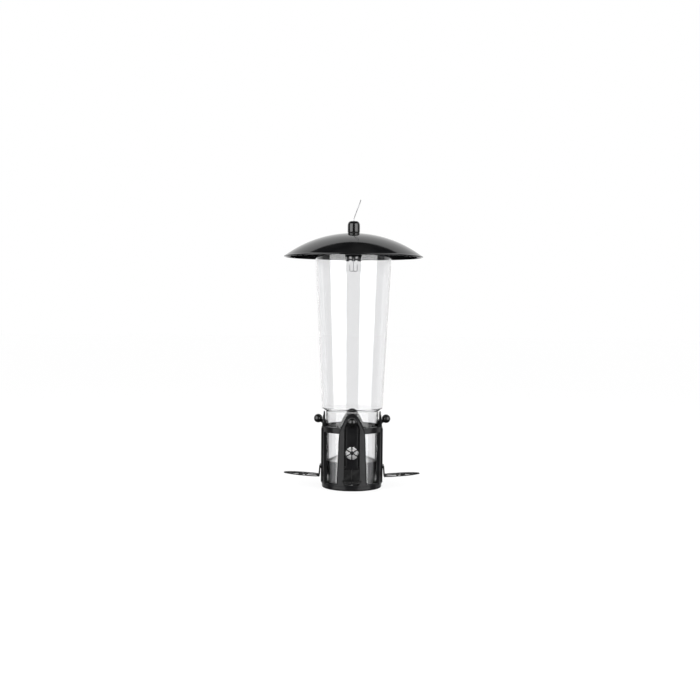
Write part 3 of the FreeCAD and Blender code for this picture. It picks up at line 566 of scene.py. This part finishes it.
def add_piece(name, shape, slot, body=None, replaces=(), turn=0.0, sharp=40.0):
    """A finished mesh in the row frame, with its slot's material, on its body."""
    mesh = bpy.data.meshes.new(name)
    mesh.from_pydata([tuple(spin(v, turn)) for v in shape[0]], [], shape[1])
    work = bmesh.new()
    work.from_mesh(mesh)
    bmesh.ops.recalc_face_normals(work, faces=work.faces)
    work.to_mesh(mesh)
    work.free()
    mesh.shade_smooth()
    mesh.set_sharp_from_angle(angle=math.radians(sharp))
    mesh.materials.append(MATERIALS[slot])
    piece = bpy.data.objects.new(name, mesh)
    bpy.context.collection.objects.link(piece)
    if body:
        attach(piece, body)
    for node in replaces:
        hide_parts(node)
    return piece


# ---------------------------------------------------------------------------------------------
# Roof, finial and base
# ---------------------------------------------------------------------------------------------


def make_dome():
    """The spun dome: one even skin that ends in a rolled hem."""
    low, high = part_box("roof_dome")
    rim = high.x - 0.5 * MM
    rim_height = low.z + 1.5 * MM
    rise = high.z - rim_height
    sphere = (rim ** 2 + rise ** 2) / (2.0 * rise)
    centre = high.z - sphere
    hole = 4.1 * MM
    wall = 1.2 * MM
    hem_middle = rim - 0.9 * MM
    hem_height = rim_height - 0.25 * MM
    hem_half_width = 1.4 * MM
    hem_half_depth = 1.2 * MM
    hem_start = 52.0
    hem_sweep = 232.0
    hem_steps = 11

    def skin(radius, start, end, steps):
        first = math.asin(start / radius)
        last = math.asin(end / radius)
        angles = [first + (last - first) * step / steps for step in range(steps + 1)]
        return [(radius * math.sin(a), centre + radius * math.cos(a)) for a in angles]

    profile = skin(sphere, hole, hem_middle, 48)
    for step in range(1, hem_steps + 1):
        angle = math.radians(hem_start - hem_sweep * step / hem_steps)
        across = hem_middle + hem_half_width * math.cos(angle)
        profile.append((across, hem_height + hem_half_depth * math.sin(angle)))
    profile += skin(sphere - wall, rim - 3.0 * MM, hole, 40)
    add_piece("dome_shell", lathe(profile, 256), "black_gloss", "roof", ["roof_dome"], sharp=60.0)


def make_finial():
    """The thimble-shaped nut on top, with a countersunk hole for the wire."""
    low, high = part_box("finial")
    reach = high.x
    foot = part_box("finial_washer")[1].z
    spigot = 4.05 * MM
    bore = 1.8 * MM
    countersink = 0.7 * MM
    crown = 4.2 * MM
    shoulder = foot + 0.60 * (high.z - foot)
    steps = 10
    profile = [
        (bore, low.z), (spigot - 0.3 * MM, low.z), (spigot, low.z + 0.3 * MM), (spigot, foot),
        (reach - 0.7 * MM, foot), (reach - 0.2 * MM, foot + 0.2 * MM), (reach, foot + 0.7 * MM),
    ]
    for step in range(steps + 1):
        angle = math.radians(90.0 * step / steps)
        across = crown + (reach - crown) * math.cos(angle) ** 0.85
        profile.append((across, shoulder + (high.z - shoulder) * math.sin(angle)))
    profile += [(bore + countersink, high.z), (bore, high.z - 0.8 * MM)]
    add_piece("finial_cap", lathe(profile, 96), "black_satin", "knob", ["finial"], sharp=50.0)


def make_base_trim():
    """A moulded bead round the foot of the cage, where it meets the base."""
    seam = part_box("base_tray")[1].z
    middle = 43.2 * MM
    thick = 0.8 * MM
    angles = [2.0 * math.pi * i / 10 for i in range(10)]
    section = [(middle + thick * math.cos(a), seam + thick * math.sin(a)) for a in angles]
    add_piece("base_bead", lathe(section, 160), "black_plastic", "feeder")


def make_screws():
    """Four pan-head screws that show from below, each with a cross recess and a cut thread."""
    low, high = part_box("base_screws")
    sides = 64
    place = spin((0.0, -31.0 * MM, 0.0), 22.5)
    head = 2.3 * MM
    head_top = 1.5 * MM
    crown = 0.35 * MM
    recess_share = 0.64
    recess_half = 0.3 * MM
    recess_depth = 0.55 * MM
    thread = 1.15 * MM
    root = 0.92 * MM
    half_pitch = 0.3 * MM
    rings = []
    for share in (0.02, 0.12, 0.2, 0.28, 0.36, 0.46, 0.56, 0.64, 0.72, 0.82, 0.92, 0.98, 1.0):
        ring = circle(head * share, low.z + crown * share ** 4, sides)
        for point in ring:
            if min(abs(point.x), abs(point.y)) < recess_half and share < recess_share:
                point.z += recess_depth
        rings.append(ring)
    rings += [circle(head, head_top, sides), circle(thread, head_top, sides)]
    height = head_top + 0.1 * MM
    while height < high.z - 2.0 * half_pitch:
        rings += [circle(thread, height, sides), circle(root, height + half_pitch, sides)]
        height += 2.0 * half_pitch
    rings.append(circle(0.1 * MM, high.z, sides))
    vertices, faces = strip(rings, False)
    screws = [([spin(Vector(v) + place, turn) for v in vertices], faces) for turn in PORTS.values()]
    add_piece("pan_head_screws", joined(screws), "bright_steel", "feeder", ["base_screws"])


def make_crossbar_combs():
    """A stiffening flange with two notches under each end of the crossbar, just inside the tube."""
    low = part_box("crossbar")[0]
    top = low.z + 0.3 * MM
    notch = low.z - 0.5 * MM
    foot = low.z - 3.4 * MM
    outer = 50.8 * MM
    thick = 1.4 * MM
    half = [(2.6, foot), (2.6, notch), (6.2, notch), (6.2, foot), (11.4, foot), (11.4, top)]
    corners = [(x * MM, z) for x, z in half] + [(-x * MM, z) for x, z in reversed(half)]
    section = round_corners(corners, 0.5 * MM)
    combs = []
    for front in (-outer, outer - thick):
        rings = [[Vector((p.x, depth, p.y)) for p in section] for depth in (front, front + thick)]
        combs.append(strip(rings, False))
    add_piece("crossbar_combs", joined(combs), "black_plastic", "feeder")


# ---------------------------------------------------------------------------------------------
# Cage trim
# ---------------------------------------------------------------------------------------------


def make_shroud_trim(port, turn):
    """Rounded beads along the edges of one shroud and of its opening, from the foot over the top."""
    wall = 44.6
    edge = [(20.9, 9.0, wall), (19.9, 30.0, wall), (19.0, 55.0, wall), (18.6, 70.0, wall),
            (17.4, 85.0, wall), (14.4, 93.0, wall), (11.0, 99.5, 42.9), (7.6, 105.8, 41.7),
            (2.8, 109.6, 41.0)]
    rib = 45.4
    mouth = [(11.5, height, rib) for height in (9.5, 30.0, 55.0, 75.0, 85.5)]
    mouth += [(11.3, 89.0, 44.4), (9.3, 94.5, 43.8), (6.2, 100.4, 42.7), (2.6, 104.0, 42.1)]
    for name, half, thick in (("shroud_edge_", edge, 0.8 * MM), ("port_edge_", mouth, 0.65 * MM)):
        points = [on_wall(across * MM, height * MM, reach * MM) for across, height, reach in half]
        path = smooth_path(mirrored(points), 5)
        add_piece(name + port, rod(path, thick), "black_plastic", "feeder", turn=turn)


def make_collar_trim():
    """Fine beads on the collar's edges, in the four windows between the shrouds."""
    reach = 44.7 * MM
    thick = 0.55 * MM
    steps = 20
    rods = []
    for turn in PORTS.values():
        for height, start in ((82.6 * MM, 24.5), (89.9 * MM, 19.5)):
            sweep = 90.0 - 2.0 * start
            front = Vector((0.0, -reach, height))
            path = [spin(front, turn + start + sweep * i / steps) for i in range(steps + 1)]
            rods.append(rod(path, thick))
    add_piece("collar_trim", joined(rods), "black_plastic", "feeder")


# ---------------------------------------------------------------------------------------------
# Ports: shutter trim, knob, perch and spring
# ---------------------------------------------------------------------------------------------


def make_shutter_trim(port, turn):
    """A bead round the grille, a domed hub and two shallow ribs on the shutter's face."""
    wall = 40.65 * MM
    middle = 54.6 * MM
    grille = 10.1 * MM
    rib_across = 8.6 * MM
    hub_sink = 0.1 * MM
    angles = [2.0 * math.pi * i / 48 for i in range(48)]
    ring = [on_wall(grille * math.sin(a), middle + grille * math.cos(a), wall) for a in angles]
    hub = []
    for reach, lift in ((2.6, 0.0), (2.5, 0.35), (1.9, 0.75), (0.9, 1.0), (0.05, 1.05)):
        depth = -wall - lift * MM + hub_sink
        hub.append([Vector((reach * MM * math.sin(a), depth, middle + reach * MM * math.cos(a)))
                    for a in angles[::2]])
    parts = [rod(ring, 0.6 * MM, closed=True), strip(hub, False)]
    for across in (-rib_across, rib_across):
        line = [on_wall(across, height * MM, wall) for height in (39.0, 60.0, 86.0)]
        parts.append(rod(line, 0.5 * MM, 8))
    add_piece("shutter_trim_" + port, joined(parts), "black_plastic", "port_" + port, turn=turn)


def make_knob(port, turn):
    """The ball and its slanting stem as one turned piece, with a flared foot on the shutter."""
    foot = Vector((0.0, -39.9 * MM, 92.75 * MM))
    ball = Vector((0.0, -49.5 * MM, 100.0 * MM))
    along = (ball - foot).normalized()
    length = (ball - foot).length
    radius = 6.3 * MM
    neck = 2.2 * MM
    pole = 0.02
    steps = 24
    profile = [(0.02, 0.0), (3.1, 0.0), (3.0, 0.5), (2.45, 1.2)]
    profile = [(reach * MM, height * MM) for reach, height in profile] + [(neck, 2.2 * MM)]
    meet = math.asin((neck + 0.5 * MM) / radius)
    profile.append((neck, length - radius * math.cos(meet) - 0.6 * MM))
    for step in range(steps + 1):
        angle = meet + (math.pi - pole - meet) * step / steps
        profile.append((radius * math.sin(angle), length - radius * math.cos(angle)))
    vertices, faces = lathe_open(profile, 56)
    aim = along.to_track_quat("Z", "Y").to_matrix()
    shape = ([foot + aim @ Vector(v) for v in vertices], faces)
    add_piece("knob_ball_" + port, shape, "black_satin", "port_" + port, ["knob_" + port], turn)


def make_perch(port, turn):
    """The leaf of the perch: an oval of round moulded bars with a midrib and three pairs of veins."""
    root = 47.4
    root_height = 16.6
    slope = 3.8 / 52.1
    first = 48.4
    last = 98.2
    vein = 0.85 * MM
    flat = 0.85

    def spot(across, out, lift=0.0):
        return Vector((across * MM, -out * MM, (root_height + (out - root) * slope + lift) * MM))

    half = [(0.0, first), (6.0, first), (9.9, 49.0), (12.3, 54.0), (12.7, 63.0), (12.6, 74.0),
            (10.7, 83.5), (7.4, 91.5), (3.6, 97.0), (0.0, 98.5)]
    edge = [spot(across, out) for across, out in half]
    loop = edge + [Vector((-p.x, p.y, p.z)) for p in edge[-2:0:-1]]
    midrib = [spot(0.0, first, 0.1), spot(0.0, 70.0, 0.2), spot(0.0, last, 0.1)]
    bars = [rod(smooth_path(loop, 5, True), 0.95 * MM, 12, True, flat)]
    bars.append(rod(midrib, 1.0 * MM, 12, flat=flat))
    for sign in (-1.0, 1.0):
        for near, far in ((69.0, 64.5), (90.5, 84.0)):
            middle = (near + far) / 2.0 - 0.2
            line = [spot(0.0, near), spot(sign * 6.5, middle), spot(sign * 12.0, far)]
            bars.append(rod(line, vein, flat=flat))
        line = [spot(sign * 0.5, 70.5), spot(sign * 5.8, 73.8, 0.05), spot(sign * 11.6, 79.0)]
        bars.append(rod(line, vein, flat=flat))
    for out in (69.0, 90.5):
        bars.append(boss(spot(0.0, out, 0.35), 1.7 * MM))
    leaf = joined(bars)
    add_piece("perch_leaf_" + port, leaf, "black_perch", "port_" + port, ["perch_" + port], turn)


def make_tab(across):
    """A small upright tab from the bracket back to the shutter, with its edges eased."""
    half = 0.75 * MM
    rings = []
    for share in (-1.0, -0.8, 0.8, 1.0):
        inset = 0.2 if abs(share) == 1.0 else 0.0
        side = [(-46.0, 28.4 + inset), (-46.0, 32.0 - inset), (-39.4 - inset, 32.0 - inset),
                (-39.1 - inset, 31.6), (-39.1 - inset, 28.8), (-39.4 - inset, 28.4 + inset)]
        rings.append([Vector((across + half * share, y * MM, z * MM)) for y, z in side])
    return strip(rings, False)


def make_bracket(port, turn):
    """A folded plate: it turns up from the leaf, leans in to the shutter and carries two hooked tabs."""
    half = 10.6 * MM
    middle = -47.3
    end_shrink = 0.3
    side = [(-50.6, 16.95), (-48.3, 16.9), (-47.9, 17.6), (-46.85, 31.4), (-46.4, 32.0),
            (-45.6, 32.0), (-45.3, 31.4), (-46.45, 17.2), (-46.9, 15.9), (-47.6, 15.75),
            (-50.4, 15.95)]
    rings = []
    for share in (-1.0, -0.96, 0.96, 1.0):
        shrink = end_shrink if abs(share) == 1.0 else 0.0
        ring = []
        for depth, height in side:
            inward = math.copysign(shrink, middle - depth)
            ring.append(Vector((half * share, (depth + inward) * MM, height * MM)))
        rings.append(ring)
    parts = [strip(rings, False)]
    for across in (-9.6 * MM, 9.6 * MM):
        parts.append(make_tab(across))
    rib = [(-50.0, 17.3), (-48.3, 18.2), (-47.5, 22.0), (-46.75, 31.0)]
    line = [Vector((0.0, depth * MM, height * MM)) for depth, height in rib]
    parts.append(rod(smooth_path(line, 5), 0.8 * MM))
    bracket = joined(parts)
    add_piece("perch_bracket_" + port, bracket, "black_perch", "port_" + port, turn=turn)


def make_spring(port, turn):
    """The compression spring, wound from its foot in the base up to the top of the CAD spring."""
    node = "spring_" + port
    wire = 0.25 * MM
    bottom = 3.0 * MM + wire
    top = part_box(node)[1].z - wire
    turns = 9.5
    dead = 0.8
    reach = 1.55 * MM
    middle = Vector((0.0, -41.1 * MM, 0.0))
    steps = int(turns * 18)
    path = []
    for step in range(steps + 1):
        wound = turns * step / steps
        angle = 2.0 * math.pi * wound
        along = min(max((wound - dead) / (turns - 2.0 * dead), 0.0), 1.0)
        closed = min(wound, dead) + max(wound - (turns - dead), 0.0)
        height = bottom + 2.0 * wire * closed + (top - bottom - 4.0 * dead * wire) * along
        path.append(middle + Vector((reach * math.cos(angle), reach * math.sin(angle), height)))
    coil = rod(path, wire, 8)
    piece = add_piece("spring_coil_" + port, coil, "bright_steel", replaces=[node], turn=turn)
    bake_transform(piece)


# ---------------------------------------------------------------------------------------------
# Build
# ---------------------------------------------------------------------------------------------

MATERIALS = make_materials()


def finish_cad_nodes():
    """Every CAD node that stays visible gets the material of its slot."""
    slots = {part["node"]: part["material_slot"] for part in frame["record"]["subparts"]}
    for name, node in frame["nodes"].items():
        node.data.materials.clear()
        node.data.materials.append(MATERIALS[slots[name]])


finish_cad_nodes()
make_dome()
make_finial()
make_base_trim()
make_screws()
make_crossbar_combs()
make_collar_trim()
for port_name, port_turn in PORTS.items():
    make_shroud_trim(port_name, port_turn)
    make_shutter_trim(port_name, port_turn)
    make_knob(port_name, port_turn)
    make_perch(port_name, port_turn)
    make_bracket(port_name, port_turn)
    make_spring(port_name, port_turn)
make_camera()
make_stage()
